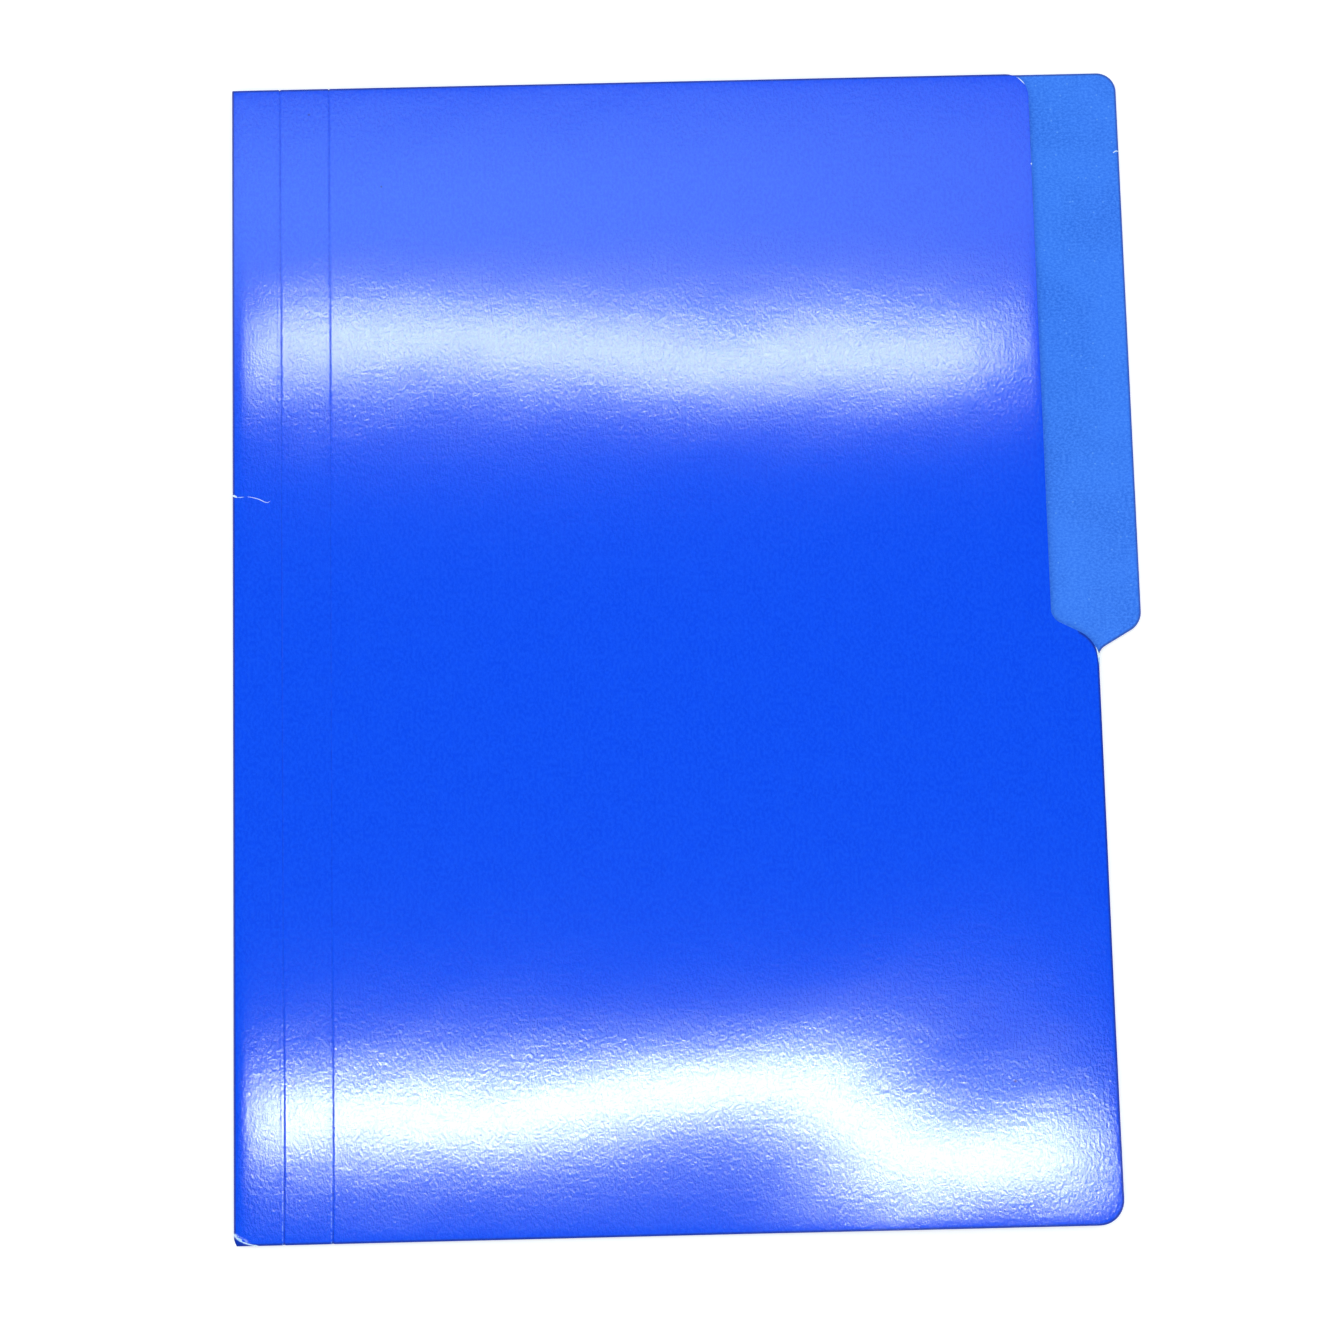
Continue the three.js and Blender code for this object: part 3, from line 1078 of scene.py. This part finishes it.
def make_tear(core):
    """A tear that starts at the fold. Its first sliver, on the fold, is baked in place on no body."""
    tear = curve_through(np.array(TEAR) * MM, TEAR_POINTS)
    at_fold = tear[:, 1] < FOLD_SEAM - FOLD_LINE + TEAR_PAST_SEAM
    piece = front_sliver("tear_at_fold", tear[at_fold, 0], tear[at_fold, 1], 0.5 * MM,
                         0.07 * MM, core)
    bend_over_the_fold(piece)
    for name, low, high, width in TEAR_SLIVERS:
        part = (tear[:, 1] > low * MM) & (tear[:, 1] < high * MM)
        piece = front_sliver(name, tear[part, 0], tear[part, 1], width * MM, FIBRE_HEIGHT, core)
        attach(piece, "first_expansion_strip")


def make_corner_wear(core):
    """Slivers along the border of the crushed corner, and at the end of the strip beside it.

    The rub is a wider one, along about a third of the border from the fold.
    """
    across = np.linspace(0.7, 6.3, 30) * MM
    border = SPINE - CRUSH_ALONG * (1 - across / CRUSH_ACROSS) ** CRUSH_POWER
    at_end = np.linspace(5.2, 5.9, 10) * MM
    slivers = (
        ("corner_scuff", border - 0.10 * MM, across, 0.26 * MM, FIBRE_HEIGHT),
        ("corner_rub", border[:9] - 0.22 * MM, across[:9], 0.62 * MM, FIBRE_HEIGHT),
        ("corner_nick", np.full(10, SPINE - 0.02 * MM), at_end, 0.44 * MM, 0.06 * MM),
    )
    for name, along, place, width, height in slivers:
        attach(front_sliver(name, along, place, width, height, core), "first_expansion_strip")


def make_chips(core):
    """Chips in the open edge of the front leaf, and one in the edge of the tab."""
    outline = front_outline()
    for name, first, last, width in EDGE_CHIPS:
        x, y = edge_path(outline, first * MM, last * MM, CHIP_POINTS)
        z = FRONT_TOP + front_rise(x, y, np.zeros_like(x)) - CHIP_DROP
        out = np.tile(UPWARDS, (CHIP_POINTS, 1))
        piece = sliver(name, np.stack([x, y, z], -1), out, width * MM, CHIP_HEIGHT, core)
        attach(piece, "front_leaf")

    nick = curve_through(np.array(TAB_NICK) * MM, NICK_POINTS)
    height = np.full(NICK_POINTS, CARD - 0.02 * MM)
    path = np.stack([LEFT + nick[:, 0], TAB_EDGE + nick[:, 1], height], -1)
    out = np.tile(UPWARDS, (NICK_POINTS, 1))
    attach(sliver("tab_chip", path, out, 0.3 * MM, 0.08 * MM, core), "back_leaf")


# The table under the folder, a little below it so that the opened cover clears it. Its lift is
# the light it gives by itself.
FLOOR_DROP = 0.5 * MM
FLOOR_SIZE = 6.0
FLOOR_LIFT = 0.34
FLOOR_GREY = (0.86, 0.86, 0.86, 1)

# The two strip lamps, which mirror as bands across the card: where the middle of each band lies,
# how long its lamp is, and how strong
LAMP_HEIGHT = 2900 * MM
LAMP_WIDTH = 64 * MM
LAMP_COLOUR = (0.85, 1.0, 1.0)
LAMPS = (
    ("far_strip_lamp", (-78.0 * MM, -15.0 * MM), 1215 * MM, 7.0),
    ("near_strip_lamp", (118.3 * MM, -7.0 * MM), 1290 * MM, 12.9),
)

# The room's brightness, by the height of each direction: its sine above the horizon
ROOM_FADE = (0.895, 0.70)
ROOM_STRENGTH = 1.15
ROOM_DARK = 0.03
LOWEST_HEIGHT = 0.05

# The glow on the ceiling beyond the far lamp: a bell over how far a direction leans from upright,
# along the fold and across it
GLOW_PLACE = (-0.337, -0.15)
GLOW_REACH = (0.057, 0.5)
GLOW_STRENGTH = 2.4
GLOW_COLOUR = (0.64, 1.0, 1.0, 1)
WHITE = (1, 1, 1, 1)


def make_floor():
    """A plain pale table. Seen directly or in a gloss, it is lifted to white but for its shadow."""
    material, graph, shader, _ = new_material("pale table")
    light = graph.node("ShaderNodeLightPath").outputs
    seen = graph.math("ADD", light["Is Camera Ray"], light["Is Glossy Ray"])
    seen = graph.math("ADD", seen, light["Is Transmission Ray"], clamp=True)
    graph.feed(shader, {
        "Base Color": FLOOR_GREY,
        "Roughness": 0.9,
        "Specular IOR Level": 0.0,
        "Emission Color": WHITE,
        "Emission Strength": graph.math("MULTIPLY", seen, FLOOR_LIFT),
    })
    half = FLOOR_SIZE / 2
    corners = [(-half, -half), (half, -half), (half, half), (-half, half)]
    mesh = bpy.data.meshes.new("table")
    mesh.from_pydata([(x, y, -FLOOR_DROP) for x, y in corners], [], [(0, 1, 2, 3)])
    mesh.materials.append(material)
    table = bpy.data.objects.new("table", mesh)
    bpy.context.scene.collection.objects.link(table)


def make_lights():
    """Each strip lamp hangs where the card, taken as a flat mirror, shows it at its band."""
    share = LAMP_HEIGHT / CAMERA_PLACE[2]
    for name, band, length, power in LAMPS:
        data = bpy.data.lights.new(name, "AREA")
        data.shape = "RECTANGLE"
        data.size = LAMP_WIDTH
        data.size_y = length
        data.energy = power
        data.color = LAMP_COLOUR
        lamp = bpy.data.objects.new(name, data)
        x, y = (here + (here - eye) * share for here, eye in zip(band, CAMERA_PLACE))
        lamp.location = (x, y, LAMP_HEIGHT)
        bpy.context.scene.collection.objects.link(lamp)


def make_world():
    """A room that is white towards the horizon and dark overhead, behind the lamps.

    Beyond the far lamp the ceiling glows: a bell over how far the way there leans from upright.
    """
    world = bpy.data.worlds.new("room")
    world.use_nodes = True
    graph = Graph(world.node_tree)
    shader = world.node_tree.nodes["Background"]
    parts = graph.split(graph.node("ShaderNodeTexCoord").outputs["Generated"])
    bright = graph.math("MULTIPLY", graph.smooth(parts["Z"], *ROOM_FADE), ROOM_STRENGTH)
    upright = graph.math("MAXIMUM", parts["Z"], LOWEST_HEIGHT)
    squares = []
    for axis, place, reach in zip("XY", GLOW_PLACE, GLOW_REACH):
        lean = graph.math("SUBTRACT", graph.math("DIVIDE", parts[axis], upright), place)
        share = graph.math("DIVIDE", lean, reach)
        squares.append(graph.math("MULTIPLY", share, share))
    away = graph.math("ADD", *squares)
    glow = graph.math("POWER", math.e, graph.math("MULTIPLY", away, -1.0))
    strength = graph.math("ADD", bright, graph.math("MULTIPLY", glow, GLOW_STRENGTH))
    graph.feed(shader, {
        "Strength": graph.math("ADD", strength, ROOM_DARK),
        "Color": graph.blend(glow, WHITE, GLOW_COLOUR),
    })
    bpy.context.scene.world = world


make_camera()
make_folder({"grain": paper_grain_group(), "line": line_group(), "speck": spot_group()})
make_floor()
make_lights()
make_world()
bpy.context.scene.view_settings.view_transform = "Standard"
